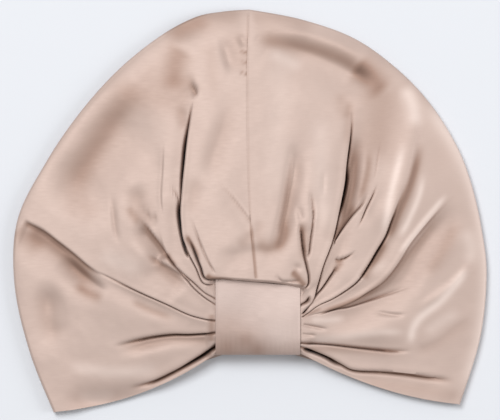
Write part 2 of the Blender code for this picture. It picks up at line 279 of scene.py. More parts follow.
LEFT_SWELLS = (
    Swell("puff_hollow", ((-26, -30.5), (-14, -30.5), (-1.5, -28), (12.5, -29.5), (25, -29.5)),
          2.0, 5.0, 9.0, 0.3, 0.3),
    Swell("hem_valley", ((-60, -119), (-84, -128), (-108.5, -131), (-132.5, -128.5)),
          3.4, 7.0, 9.0, 0.3, 0.3),
    Swell("crown_dent", ((-69, 79), (-93, 54), (-116, 24), (-134, -4)),
          7.0, 26.0, 17.0, 0.35, 0.3, -0.05),
    Swell("rim_facet", ((-25, 132), (-43, 126.5), (-62, 115.5)), 1.0, 7.0, 7.0, 0.3, 0.4, 0.16),
    Swell("shaded_line", ((-92, -23), (-94.5, -9.5), (-96.5, 15)), 0.9, 1.6, 2.6, 0.3, 0.5, 0.08),
    Swell("puff_band", ((-31, 16), (-27, 35.5), (-22, 50.5), (-17, 66.5), (-15, 84)),
          2.2, 6.0, 8.0, 0.35, 0.45, 0.06),
    Swell("crown_line_a", ((-14, 92), (-17, 106), (-21.5, 122.5)), 2.2, 3.0, 6.0, 0.4, 0.4),
    Swell("crown_line_b", ((-5, 111.5), (-9, 123)), 1.4, 2.4, 3.5, 0.4, 0.4),
    Swell("tick_a", ((-3, 108.5), (-6, 109.5), (-9.5, 109.5)), 0.5, 1.1, 0.8, 0.1, 0.5, 0.28),
    Swell("tick_b", ((-3, 102), (-6, 102.5), (-8.5, 103)), 0.3, 1.1, 0.8, 0.1, 0.5, 0.2),
    Swell("tick_c", ((-3, 94), (-6, 95), (-9.5, 95)), 0.5, 1.1, 0.8, 0.1, 0.5, 0.28),
    Swell("side_hollow", ((-131, -30.5), (-121.5, -39), (-110.5, -48), (-99.5, -57)),
          3.2, 3.5, 9.0, 0.3, 0.3, 0.04),
    Swell("low_dark", ((-27, -87.5), (-39.5, -87.5), (-56.5, -87.5), (-74, -91.5), (-94, -96.5)),
          1.2, 4.0, 4.0, 0.1, 0.3, 0.2),
    Swell("wedge_dark", ((-79.5, 20.5), (-78.5, 8), (-74.5, -3), (-67.5, -15.5)),
          1.6, 7.0, 7.0, 0.3, 0.3, 0.12),
    Swell("slot_top", ((-36.5, 79), (-40.5, 86), (-45, 95.5)), 0.8, 4.0, 4.0, 0.2, 0.4, 0.12),
    Swell("ridge_dark", ((-44, -50.5), (-54.5, -42.5), (-65, -35), (-74, -28)),
          0.8, 2.6, 2.0, 0.3, 0.3, 0.22),
    Swell("corner_dark", ((-31.5, -42), (-28.5, -44), (-23.5, -45), (-11, -46.5)),
          0.0, 1.7, 1.7, 0.1, 0.3, 0.65),
    Swell("crown_shade", ((-76.5, 90.5), (-96.5, 62), (-112, 37), (-128.5, 4)),
          0.0, 9.0, 11.0, 0.15, 0.25, 0.28),
    Swell("upper_dark_a", ((-47, 114), (-52.5, 102), (-54.5, 79.5)), 1.0, 9.0, 9.0, 0.2, 0.3, 0.3),
    Swell("upper_dark_b", ((-91, 79.5), (-78.5, 88), (-60.5, 103)), 0.4, 6.0, 6.0, 0.3, 0.3, 0.06),
    Swell("upper_painted_shade", ((-36, 81), (-58, 78.5), (-85.5, 82.5)), 0.5, 12.0, 12.0, 0.25, 0.3, 0.16),
    Swell("slot_dark", ((-45.5, 53.5), (-47.5, 63), (-50.5, 75.5)), 0.8, 4.0, 4.0, 0.3, 0.4, 0.16),
    Swell("crown_painted_shade", ((-15, 126.5), (-8.5, 111.5), (-6, 92)), 0.3, 8.0, 8.0, 0.3, 0.3, 0.1),
    Swell("dimple_dark", ((-139.5, -54), (-141.5, -64), (-139.5, -78.5), (-131, -90)),
          0.8, 6.0, 6.0, 0.3, 0.3, 0.1),
    Swell("side_dark", ((-154.5, -10), (-141, -18.5), (-128.5, -28.5), (-116.5, -40.5),
                        (-103.5, -53)), 0.5, 2.6, 7.0, 0.15, 0.25, 0.34),
    Swell("slot_spot", ((-45, -15.5), (-42.5, -20.5), (-38.5, -26.5), (-35, -35)),
          0.0, 1.5, 1.5, 0.15, 0.3, 0.5),
    Swell("puff_left_painted_shade", ((-41.5, -4.5), (-40, 11.5), (-36, 25)), 0.4, 5.0, 5.0, 0.3, 0.3, 0.08),
    Swell("seam_dark", ((-11, -24), (-3.5, -19.5), (1.5, -11.5)), 0.4, 4.0, 4.0, 0.3, 0.3, 0.12),
    Swell("side_end", ((-161.5, -11.5), (-150.5, -19.5), (-142, -30.5)),
          0.3, 5.0, 9.0, 0.1, 0.4, 0.2),
    Swell("edge_spot", ((-58, -28.5), (-55, -33), (-51, -37)), 0.0, 1.5, 1.5, 0.2, 0.25, 0.65),
    Swell("wedge_fan", ((-77.5, -7), (-70.5, -15), (-63, -24), (-55, -33.5)),
          0.5, 2.0, 3.0, 0.3, 0.15, 0.3),
    Swell("crown_rim", ((-63.5, 117), (-37.5, 132), (-1.5, 136.5)), 0.0, 9.0, 9.0, 0.2, 0.2, 0.16),
    Swell("corner_left", ((-132.5, -124.5), (-112, -133), (-84, -128.5)),
          0.0, 9.0, 9.0, 0.3, 0.3, 0.06),
    Swell("cheek_spot", ((-123, -48.5), (-114, -55.5), (-100.5, -60.5)),
          0.3, 3.4, 4.0, 0.3, 0.3, 0.3),
    Swell("cheek_under", ((-84, -61), (-70.5, -67.5), (-52.5, -74)), 0.3, 2.6, 2.6, 0.2, 0.3, 0.2),
    Swell("band_side", ((-27.5, -69.5), (-27.5, -89.5)), 0.0, 2.4, 2.4, 0.1, 0.1, 0.28),
    Swell("low_painted_highlight", ((-128.5, -106.5), (-91, -110.5), (-60.5, -107.5)),
          0.0, 4.5, 4.5, 0.2, 0.2, -0.3),
    Swell("hem_dark", ((-73, -119.5), (-55, -110.5), (-40, -103), (-27, -96.5)),
          0.0, 2.4, 2.4, 0.2, 0.05, 0.2),
    Swell("crown_mid", ((-30.5, 118.5), (-27.5, 97.5), (-26, 70)), 0.0, 5.0, 5.0, 0.2, 0.4, 0.08),
    Swell("seam_line", ((-3, 137.5), (-3.5, 97.5), (-3, 42.5), (-2, 8), (0, -23), (2, -44.5)),
          0.0, 0.6, 0.6, 0.02, 0.02, 0.12),
    Swell("cheek_painted_highlight_left", ((-107.5, -28), (-91, -35), (-72, -41.5)),
          0.0, 7.0, 6.0, 0.3, 0.3, -0.25),
    Swell("seam_low", ((-1.5, -7), (0.5, -23), (2.5, -44.5)), 0.0, 0.9, 0.9, 0.2, 0.02, 0.3),
    Swell("hem_painted_highlight", ((-121.5, -126), (-107.5, -127.5), (-92.5, -125)),
          0.0, 4.0, 4.0, 0.3, 0.3, -0.2),
    Swell("strip_shade", ((-70.5, -35), (-58, -45), (-47, -54)), 0.3, 3.0, 3.0, 0.3, 0.3, 0.1),
    Swell("side_painted_shade", ((-132.5, -1.5), (-118.5, 4), (-105, -7)), 0.0, 9.0, 9.0, 0.3, 0.3, 0.1),
    Swell("wedge_spot", ((-86, 4), (-81.5, -3), (-76.5, -9.5)), 0.0, 3.0, 3.0, 0.25, 0.3, 0.2),
)

LEFT_DENTS = (
    Dent(-140.5, -60.0, 9.0, 3.2),
    Dent(-139.0, -76.0, 15.0, 2.4),
    Dent(-42.0, 127.0, 9.0, 1.6),
    Dent(-38.5, 14.0, 7.0, 1.2),
)

RIGHT_LAPS = (
    Lap("puff_edge", Over.SEAM, ((34.5, -68.5), (40, -59.5), (43.5, -49.5), (47.5, -36),
                                 (54, -18.5), (58.5, 1.5), (62, 19), (63.5, 33.5), (66.5, 52),
                                 (67.5, 64.5), (67.5, 71.5)),
        8.0, 0.9, 1.4, 1.4, 0.3, 4.0, 5.0, 0.0, 0.3),
    Lap("under_strip", Over.SEAM, ((35, -68), (39.5, -60.5), (47, -51.5), (53, -42.5),
                                   (57.5, -36)), 4.0, 0.9, 1.8, 0.8, 0.12, 1.0, 3.0, 0.0, 0.2),
    Lap("inner_ridge", Over.HEM, ((56.5, -23), (62.5, -13.5), (69, -4.5), (76, 4), (80.5, 13)),
        3.8, 1.2, 1.2, 0.9, 0.18, 1.4, 4.0, 0.05, 0.5),
    Lap("inner_wrinkle", Over.SEAM, ((72, -12), (75, -3), (79.5, 7), (85.5, 19.5)),
        2.4, 1.0, 1.2, 0.6, 0.15, 0.8, 4.0, 0.3, 0.35),
    Lap("far_wrinkle", Over.SEAM, ((83, 20.5), (85, 35.5), (87.5, 49.5)),
        0.8, 1.0, 1.0, 0.2, 0.06, 0.4, 3.0, 0.3, 0.5),
    Lap("tick", Over.SEAM, ((56.5, -31.5), (60.5, -32), (65.5, -30), (70.5, -27.5)),
        2.0, 1.0, 1.0, 0.5, 0.15, 0.8, 3.0, 0.1, 0.4),
    Lap("cheek_fold", Over.SEAM, ((34.5, -71.5), (44, -64), (54.5, -59), (65.5, -52), (72.5, -46),
                                  (78.5, -37), (84.5, -26.5), (90.5, -16.5), (94, -7), (97.5, 1.5),
                                  (102, 13), (107, 25)),
        5.0, 0.6, 1.8, 0.8, 0.4, 2.0, 5.0, 0.0, 0.45),
    Lap("side_fold", Over.SEAM, ((35, -72), (54.5, -66.5), (69, -61), (78.5, -55), (88.5, -48.5),
                                 (95.5, -41), (102, -31.5), (108.5, -21), (119.5, -7.5), (131, 5),
                                 (140, 14)), 1.4, 0.6, 1.8, 0.8, 0.5, 6.0, 8.0, 0.2, 0.25),
    Lap("lower_lip", Over.HEM, ((44, -72), (58.5, -68), (65.5, -67), (74.5, -64.5), (88.5, -60),
                                (100, -56), (112.5, -52)),
        2.6, 1.2, 1.8, 0.5, 0.12, 1.4, 6.0, 0.15, 0.5),
    Lap("low_s_crease", Over.HEM, ((34, -91), (54, -93), (74.5, -95.5), (95, -97.5), (112, -97)),
        4.0, 1.2, 1.8, 0.8, 0.12, 1.0, 4.0, 0.0, 0.35),
    Lap("hem_gap", Over.SEAM, ((34, -92), (42, -94.5), (53, -99), (62, -104), (70.5, -108),
                               (88.5, -109), (105.5, -110.5), (123, -113), (143.5, -115.5)),
        4.0, 1.3, 2.2, 1.0, 0.24, 1.6, 5.0, 0.0, 0.25),
    Lap("hem_slot", Over.SEAM, ((34, -93), (42, -95), (50.5, -98), (58, -102), (63.5, -104.5)),
        10.0, 1.2, 2.0, 0.0, 0.0, 0.0, 4.0, 0.1, 0.3),
    Lap("corner_slot", Over.SEAM, ((34, -53), (37.5, -47.5), (36, -38.5), (34, -30), (32.5, -19.5),
                                   (31.5, -6.5)), 3.8, 1.2, 1.7, 0.6, 0.15, 1.5, 4.0, 0.12, 0.2),
    Lap("corner_fold", Over.SEAM, ((37.5, -33.5), (38.5, -21.5), (40, -9.5), (40.5, -0.5),
                                   (38.5, 15)), 2.6, 1.1, 1.6, 0.6, 0.18, 1.2, 4.0, 0.15, 0.25),
    Lap("corner_gap", Over.SEAM, ((33, -63), (36, -61), (38.5, -57)),
        5.0, 1.2, 0.5, 0.0, 0.0, 0.0, 3.0, 0.0, 0.4),
    Lap("edge_slot", Over.SEAM, ((57.5, -4.5), (60.5, 9.5), (62.5, 21.5), (64, 35.5)),
        8.0, 1.4, 2.6, 0.0, 0.0, 0.0, 4.0, 0.3, 0.45),
)

# A row's shade above zero is painted shade and below zero a painted highlight.
RIGHT_SWELLS = (
    Swell("inner_dark", ((59.5, -8.5), (65.5, 8), (69, 24.5), (69.5, 53.5)),
          2.6, 4.0, 5.0, 0.2, 0.35, 0.38),
    Swell("cheek_light", ((94, -15.5), (99.5, 1), (104, 19), (108.5, 38.5), (111, 57.5),
                          (113, 73)), -3.0, 9.0, 4.5, 0.2, 0.3),
    Swell("s_ridge", ((111, -72), (119.5, -64), (129, -57.5), (138.5, -50), (146.5, -42),
                      (156, -35)), -1.2, 3.5, 3.0, 0.35, 0.2),
    Swell("short_crease", ((84, -68), (94, -70.5), (105.5, -71.5)), 1.4, 1.1, 1.8, 0.3, 0.3),
    Swell("band_wrinkle", ((34.5, -77.5), (43, -79), (52.5, -81)), 1.4, 1.0, 1.6, 0.05, 0.4),
    Swell("band_wrinkle_b", ((34, -84), (39.5, -84.5), (45, -85)), 1.0, 1.0, 1.6, 0.05, 0.4),
    Swell("crown_valley", ((7, 112), (23, 110.5), (34.5, 108), (48.5, 103), (62, 96.5), (72, 89.5),
                           (83, 79.5)), 6.0, 7.0, 18.0, 0.35, 0.3, -0.08),
    Swell("crown_ridge", ((12.5, 124.5), (33, 123), (54, 117), (67.5, 110.5), (83, 104.5)),
          -1.4, 4.0, 4.0, 0.3, 0.3),
    Swell("puff_fold", ((14, -29.5), (18.5, -19.5), (22, -7), (25, 6.5), (27.5, 21.5), (29, 35.5),
                        (29.5, 49.5)), 4.6, 3.4, 7.0, 0.35, 0.3, 0.04),
    Swell("puff_hollow", ((-26, -30.5), (-14, -30.5), (-1.5, -28), (12.5, -29.5), (25, -29.5)),
          2.0, 5.0, 9.0, 0.3, 0.3),
    Swell("corner_top", ((34, -7), (32.5, -0.5), (31, 4.5)), 1.6, 2.0, 2.4, 0.2, 0.5),
    Swell("pucker_arc", ((16, -41.5), (20, -46), (27, -46.5), (34, -46.5)),
          2.0, 1.1, 1.4, 0.3, 0.3),
    Swell("thin_line", ((49, 10.5), (48.5, 28.5)), 0.7, 1.3, 1.8, 0.4, 0.4),
    Swell("tick_a", ((1.5, 115.5), (3.5, 119), (5.5, 122.5)), 0.3, 1.0, 1.0, 0.3, 0.4),
    Swell("tick_b", ((6, 106), (8.5, 109.5), (11, 113)), 0.3, 1.2, 1.2, 0.3, 0.4),
    Swell("cheek_dark", ((90.5, -22.5), (95, -13), (98.5, -4), (103.5, 7), (108.5, 19.5),
                         (113, 35.5), (116.5, 50.5)), 0.5, 2.4, 3.6, 0.15, 0.3, 0.5),
    Swell("valley_dark", ((0, 117.5), (12.5, 117), (34.5, 113.5), (51, 109), (65, 103), (75, 95),
                          (85.5, 85)), 1.2, 6.5, 5.0, 0.15, 0.15, 0.3),
    Swell("valley_dark_end", ((70.5, 102), (80.5, 94), (92.5, 81)),
          0.6, 8.0, 9.0, 0.2, 0.25, 0.36),
    Swell("end_painted_shade", ((87, 90.5), (88.5, 70), (81.5, 28.5)), 0.3, 14.0, 15.0, 0.2, 0.3, 0.2),
    Swell("puff_top_dark", ((67.5, 78.5), (66, 63), (64, 42.5)), 0.5, 3.0, 3.0, 0.2, 0.3, 0.12),
    Swell("tick_dark", ((56, -41.5), (59.5, -37), (61.5, -33.5)), 0.5, 2.4, 2.4, 0.2, 0.2, 0.3),
    Swell("lip_dark", ((44, -68.5), (53, -66.5), (63.5, -63), (76, -57.5), (91, -49.5)),
          0.0, 1.4, 2.2, 0.25, 0.4, 0.42),
    Swell("puff_fold_dark", ((17, -30.5), (20, -18.5), (22, -3), (24, 15), (24, 35.5)),
          0.4, 3.4, 3.4, 0.15, 0.4, 0.22),
    Swell("seam_dark", ((0.5, -19.5), (4, -14), (6, -4.5)), 0.4, 4.0, 4.0, 0.3, 0.3, 0.1),
    Swell("inner_low", ((56, -20.5), (61.5, -10.5), (67, -2.5), (73, 6)),
          0.4, 3.2, 1.0, 0.1, 0.35, 0.46),
    Swell("corner_painted_shade", ((35, -35), (35, -19.5), (34.5, -4.5)), 0.4, 2.6, 2.6, 0.3, 0.3, 0.3),
    Swell("fold_dark", ((73, -45), (79.5, -37), (86, -26.5), (92, -16)),
          0.5, 1.2, 4.4, 0.1, 0.3, 0.7),
    Swell("side_dark", ((91, -54), (103.5, -39), (114.5, -24), (125.5, -7), (136.5, 8)),
          0.0, 3.0, 6.0, 0.3, 0.3, 0.04),
    Swell("painted_highlight_edge", ((118.5, 79.5), (140, 46), (152.5, 19), (160, -11.5), (163, -44),
                        (158, -87.5), (145, -128.5)), 0.0, 6.0, 6.0, 0.1, 0.1, -0.5),
    Swell("crown_rim", ((-1.5, 132), (19.5, 133.5), (47, 125)), 0.0, 7.0, 7.0, 0.1, 0.3, 0.12),
    Swell("seam_line", ((-2, 137.5), (-3, 97.5), (-2.5, 42.5), (-1.5, 8), (0.5, -23), (3, -44.5)),
          0.0, 0.6, 0.6, 0.02, 0.02, 0.1),
    Swell("side_painted_shade", ((117.5, -47.5), (131, -28), (143.5, -3)), 0.0, 5.0, 5.0, 0.3, 0.3, 0.2),
    Swell("side_painted_highlight", ((108.5, -93), (110.5, -81), (116.5, -72), (129, -62), (140, -50),
                        (149, -37.5)), 0.0, 3.0, 3.0, 0.12, 0.15, -0.6),
    Swell("cheek_painted_highlight", ((89, -19.5), (92, -6), (94.5, 8), (98.5, 24.5), (105, 49.5)),
          0.0, 2.8, 2.6, 0.2, 0.25, -0.5),
    Swell("ridge_painted_highlight", ((100.5, -19.5), (107.5, -6), (114.5, 10.5), (118.5, 28.5)),
          0.0, 2.2, 2.2, 0.2, 0.3, -0.5),
    Swell("crown_painted_highlight", ((103.5, 88), (110.5, 73), (113, 55)), 0.0, 5.0, 5.0, 0.25, 0.3, -0.5),
    Swell("hem_dark", ((69, -116.5), (95, -120.5), (123, -124.5), (145, -127.5)),
          0.0, 5.0, 5.0, 0.2, 0.1, 0.12),
    Swell("puff_low", ((0, -19.5), (11, -25), (22, -18.5), (23.5, -3)),
          0.3, 5.0, 4.0, 0.2, 0.3, 0.26),
    Swell("puff_corner", ((26, -40.5), (31.5, -44.5), (36, -50)), 0.2, 2.0, 2.0, 0.2, 0.1, 0.5),
    Swell("s_dark", ((109, -97), (127, -90.5), (141, -79.5), (156, -71.5)),
          0.6, 3.0, 6.0, 0.2, 0.3, 0.08),
    Swell("low_painted_highlight", ((40, -88), (65, -86), (88.5, -83), (109, -83)),
          0.0, 2.6, 2.6, 0.1, 0.2, -0.32),
    Swell("cheek_mid_painted_highlight", ((69, -47.5), (80, -40.5), (95, -35)), 0.0, 3.0, 3.0, 0.3, 0.3, -0.2),
    Swell("edge_painted_highlight_low", ((145, -10), (150.5, -24), (149, -39)), 0.0, 5.0, 5.0, 0.3, 0.3, -0.3),
    Swell("seam_low", ((-0.5, -7), (1, -23), (3, -44.5)), 0.0, 0.9, 0.9, 0.2, 0.02, 0.26),
    Swell("side_shade", ((72, -59), (83, -52), (92, -45), (101.5, -35.5), (112, -24), (123, -10),
                         (134, 6)), 0.3, 1.5, 4.0, 0.2, 0.4, 0.16),
    Swell("side_ridge_painted_highlight", ((99.5, -30.5), (111, -15.5), (123, -0.5), (135, 13)),
          0.0, 1.8, 1.8, 0.2, 0.2, -0.5),
    Swell("inner_far", ((72.5, 3), (76.5, 16), (79.5, 30), (80, 45)),
          0.4, 2.2, 3.0, 0.3, 0.35, 0.3),
    Swell("nick_dark", ((56, -35), (61.5, -33), (68.5, -29.5)), 0.2, 1.2, 1.2, 0.2, 0.4, 0.3),
    Swell("band_painted_highlight", ((38.5, -74), (50.5, -74.5), (65, -73)), 0.0, 2.5, 2.5, 0.2, 0.3, -0.35),
    Swell("corner_line", ((34, -72), (40, -69.5), (49, -66)), 0.0, 1.2, 1.2, 0.05, 0.3, 0.26),
    Swell("under_painted_highlight", ((116, -86), (129.5, -76), (145, -68)), 0.0, 4.0, 4.0, 0.3, 0.3, -0.25),
    Swell("puff_painted_highlight_a", ((47, 70), (47, 28.5), (48.5, -17)), 0.0, 7.0, 7.0, 0.2, 0.2, -0.2),
    Swell("puff_painted_highlight_b", ((15, 104.5), (19.5, 84), (14, -3)), 0.0, 9.0, 9.0, 0.1, 0.3, -0.12),
    Swell("slot_painted_shade", ((65, 62), (61.5, 74), (60.5, 84)), 0.2, 5.0, 5.0, 0.2, 0.3, 0.12),
    Swell("valley_painted_highlight", ((9.5, 109.5), (22, 104.5), (36, 97.5)), 0.0, 4.0, 5.0, 0.3, 0.3, -0.3),
    Swell("low_line", ((35, -93.5), (60.5, -95), (88.5, -97.5), (110.5, -98.5)),
          0.0, 1.6, 2.4, 0.1, 0.3, 0.2),
)

RIGHT_DENTS = (
    Dent(30.5, -38.5, 2.6, 1.4),
    Dent(19.0, -24.0, 8.0, 1.0),
    Dent(126.5, 38.0, 14.0, 1.6),
)


def linear_colour(code: str) -> tuple[float, float, float, float]:
    """Turn an sRGB hex value into a linear colour.

    Args:
        code: Six hex digits after a hash sign.

    Returns:
        The linear red, green, blue and an alpha of 1.
    """
    channels = [int(code[place:place + 2], 16) / 255 for place in (1, 3, 5)]
    linear = [c / 12.92 if c <= 0.04045 else ((c + 0.055) / 1.055) ** 2.4 for c in channels]
    return (*linear, 1.0)


def smooth_step(value: np.ndarray) -> np.ndarray:
    """Rise from 0 to 1 with level ends."""
    value = np.clip(value, 0.0, 1.0)
    return value * value * (3 - 2 * value)


def along_table(table: tuple, places: np.ndarray) -> np.ndarray:
    """Read the rows of a table of numbers at places between them, on a smooth curve.

    Args:
        table: Rows of equal length.
        places: Row numbers, whole or not.

    Returns:
        One row of values for each place.
    """
    rows = np.array(table, float)
    last = len(rows) - 1
    start = np.minimum(places.astype(int), last - 1)
    part = (places - start)[:, None]
    p0, p1 = rows[np.maximum(start - 1, 0)], rows[start]
    p2, p3 = rows[start + 1], rows[np.minimum(start + 2, last)]
    slope_start, slope_end, rise = (p2 - p0) / 2, (p3 - p1) / 2, p2 - p1
    cubic = slope_start + slope_end - 2 * rise
    square = 3 * rise - 2 * slope_start - slope_end
    return p1 + part * (slope_start + part * (square + part * cubic))


def nearest_on_path(points: np.ndarray, path: tuple) -> tuple[np.ndarray, np.ndarray, np.ndarray]:
    """Find where each point lies beside a smooth path.

    Args:
        points: Plan points, one a row.
        path: The points that the path goes through.

    Returns:
        How far along the path each point is, from 0 to 1, its signed distance to the left of
        the path, and the path's unit normal to the left there.
    """
    line = along_table(path, np.linspace(0, len(path) - 1, PATH_STEPS * (len(path) - 1) + 1))
    starts, runs = line[:-1], np.diff(line, axis=0)
    lengths = np.linalg.norm(runs, axis=1)
    before = np.concatenate([[0.0], np.cumsum(lengths)])
    best = np.full(len(points), np.inf)
    along = np.zeros(len(points))
    side = np.zeros(len(points))
    normals = np.zeros_like(points)
    for index, (start, run, length) in enumerate(zip(starts, runs, lengths)):
        offset = points - start
        part = np.clip(offset @ run / length ** 2, 0.0, 1.0)
        away = offset - part[:, None] * run
        distance = np.hypot(away[:, 0], away[:, 1])
        nearer = distance < best
        normal = np.array((-run[1], run[0])) / length
        best[nearer] = distance[nearer]
        along[nearer] = (before[index] + part[nearer] * length) / before[-1]
        side[nearer] = np.where(offset[nearer] @ normal >= 0, distance[nearer], -distance[nearer])
        normals[nearer] = normal
    return along, side, normals


def near_path(plan: np.ndarray, path: tuple, reach: float) -> np.ndarray:
    """Tell which points lie near a path, by the box round it.

    Args:
        plan: Plan points, one a row.
        path: The points that the path goes through.
        reach: How far past the box a point still counts.

    Returns:
        True for each point that lies near.
    """
    corners = np.array(path)
    low, high = corners.min(axis=0) - reach, corners.max(axis=0) + reach
    return ((plan > low) & (plan < high)).all(axis=1)


def fade_ends(along: np.ndarray, fade_in: float, fade_out: float) -> np.ndarray:
    """Fade a crease out at the two ends of its path.

    Args:
        along: How far along the path each point is, from 0 to 1.
        fade_in: Part of the path over which it rises from nothing.
        fade_out: Part of the path over which it falls to nothing.

    Returns:
        A factor from 0 to 1 for each point.
    """
    fade = np.ones(len(along))
    if fade_in:
        fade *= smooth_step(along / fade_in)
    if fade_out:
        fade *= smooth_step((1 - along) / fade_out)
    return fade


class NodeMaker:
    """Adds nodes with their settings and links to one material."""

    def __init__(self, name: str) -> None:
        """Start a new material with only its shader and output.

        Args:
            name: The material's name.
        """
        self.material = bpy.data.materials.new(name)
        self.material.use_nodes = True
        self.tree = self.material.node_tree
        self.shader = self.tree.nodes["Principled BSDF"]

    def add(self, kind: str, settings: dict | None = None,
            inputs: dict | None = None) -> bpy.types.Node:
        """Add a node.

        Args:
            kind: The node's type name without its ShaderNode start.
            settings: Properties of the node.
            inputs: Values or output sockets for its inputs, by name or number.

        Returns:
            The new node.
        """
        node = self.tree.nodes.new("ShaderNode" + kind)
        for key, value in (settings or {}).items():
            setattr(node, key, value)
        for key, value in (inputs or {}).items():
            if isinstance(value, bpy.types.NodeSocket):
                self.tree.links.new(value, node.inputs[key])
            else:
                node.inputs[key].default_value = value
        return node

    def link(self, output: bpy.types.NodeSocket, name: str) -> None:
        """Feed a socket of the shader."""
        self.tree.links.new(output, self.shader.inputs[name])

    def set(self, values: dict) -> None:
        """Set the shader's own sockets to plain values, by their names."""
        for name, value in values.items():
            self.shader.inputs[name].default_value = value


@dataclass(frozen=True)
class Charmeuse:
    """Charmeuse satin, woven with long floats of bright yarn over a plain ground.

    The floats give the eye a broad soft gloss across the cloth and fine lines along it. Real
    yarns lie 0.1 mm apart. They are drawn 0.9 mm apart, so that the lines show in the picture.
    An attribute of painted shading blends the colour towards a painted highlight below zero, and
    multiplies it by painted shade above zero, first towards the shaded colour and then towards the
    darkest painted crease shade. Lengths are in millimetres.
    """

    name: str
    colour: str
    shade: str
    roughness: float = 0.68
    roughness_spread: float = 0.03
    yarn: float = 0.9
    slub: float = 7.0
    relief: float = 0.02
    patch: float = 35.0
    # The painted highlight colour, the painted half shade and where it sits on the ramp, and the
    # darkest painted shade in creases.
    painted_highlight: str = "#EEE0D9"
    shaded: str = "#CFC0B7"
    shaded_at: float = 0.4
    painted_crease_shade: str = "#5A3820"
    wave: float = 24.0
    wave_relief: float = 1.6

    def make(self) -> bpy.types.Material:
        """Build the material: yarn lines run across, a little uneven, as woven satin shows.

        Returns:
            The new material.
        """
        maker = NodeMaker(self.name)
        uv = maker.add("TexCoord").outputs["UV"]
        across = maker.add("Mapping", inputs={
            "Vector": uv, "Scale": (1 / (self.slub * MM), 1 / (self.yarn * MM), 1.0)})
        yarns = maker.add("TexNoise", inputs={
            "Vector": across.outputs["Vector"], "Scale": 1.0, "Detail": 2.0, "Roughness": 0.5})
        patches = maker.add("TexNoise", inputs={
            "Vector": uv, "Scale": 1 / (self.patch * MM), "Detail": 1.0, "Roughness": 0.4})
        blend = maker.add("Mix", {"data_type": "RGBA"}, {
            0: patches.outputs["Fac"], 6: linear_colour(self.shade), 7: linear_colour(self.colour)})
        # The attribute holds painted shade above zero and painted highlights below zero: the colour
        # is blended towards the highlight colour, then multiplied by a ramp of painted shade.
        painted_shading = maker.add("Attribute", {"attribute_name": "painted_shading"})
        painted_highlight_amount = maker.add("MapRange", inputs={
            "Value": painted_shading.outputs["Fac"], "From Min": 0.0, "From Max": -1.0})
        with_painted_highlight = maker.add("Mix", {"data_type": "RGBA"}, {
            0: painted_highlight_amount.outputs["Result"], 6: blend.outputs[2], 7: linear_colour(self.painted_highlight)})
        painted_shade_ramp = maker.add("ValToRGB", inputs={"Fac": painted_shading.outputs["Fac"]})
        stops = painted_shade_ramp.color_ramp.elements
        stops[0].color = linear_colour("#FFFFFF")
        stops[1].color = linear_colour(self.painted_crease_shade)
        stops.new(self.shaded_at).color = linear_colour(self.shaded)
        shaded = maker.add("Mix", {"data_type": "RGBA", "blend_type": "MULTIPLY"}, {
            0: 1.0, 6: with_painted_highlight.outputs[2], 7: painted_shade_ramp.outputs["Color"]})
        maker.link(shaded.outputs[2], "Base Color")
        rough = maker.add("MapRange", inputs={
            "Value": yarns.outputs["Fac"], "From Min": 0.3, "From Max": 0.7,
            "To Min": self.roughness - self.roughness_spread,
            "To Max": self.roughness + self.roughness_spread})
        maker.link(rough.outputs["Result"], "Roughness")
        drape = maker.add("TexNoise", inputs={
            "Vector": uv, "Scale": 1 / (self.wave * MM), "Detail": 2.0, "Roughness": 0.35})
        waves = maker.add("Bump", inputs={
            "Height": drape.outputs["Fac"], "Strength": 1.0, "Distance": self.wave_relief * MM})
        bump = maker.add("Bump", inputs={
            "Height": yarns.outputs["Fac"], "Strength": 1.0, "Distance": self.relief * MM,
            "Normal": waves.outputs["Normal"]})
        maker.link(bump.outputs["Normal"], "Normal")
        maker.set({"Metallic": 0.5, "IOR": 1.5, "Anisotropic": 0.3,
                   "Sheen Weight": 0.12, "Sheen Roughness": 0.35})
        return maker.material


